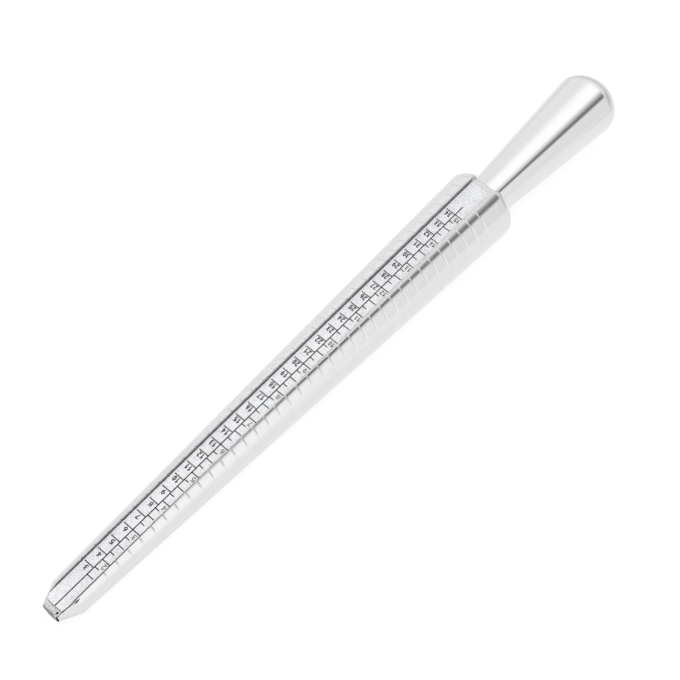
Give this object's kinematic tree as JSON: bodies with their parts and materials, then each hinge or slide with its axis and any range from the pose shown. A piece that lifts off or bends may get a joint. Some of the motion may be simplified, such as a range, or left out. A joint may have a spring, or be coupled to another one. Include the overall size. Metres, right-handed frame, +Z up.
{
  "type": "ring mandrel",
  "caption": "Tapered aluminium ring-sizing stick with fine turned rings, a channel holding a printed size strip, and a flared domed handle.",
  "frame": {"origin": "on the surface that the stick lies on, under the middle of its bounding box", "axes": "+X along the surface from the small tip to the handle, +Z up, out of the channel; the stick's axis climbs from the tip toward the handle by half the taper angle"},
  "size_m": [0.2517, 0.0248, 0.0254],
  "materials": {
    "bare_aluminium": "fine turned, satin bright",
    "polished_aluminium": "polished",
    "printed_film": "printed, semi-matte",
    "clear_adhesive": "adhesive film",
    "zinc_steel": "zinc plated"
  },
  "bodies": {
    "root": {"mandrel_body": "bare_aluminium", "scale_strip": "printed_film", "strip_adhesive": "clear_adhesive", "handle": "polished_aluminium", "handle_stud": "zinc_steel"}
  },
  "joints": []
}
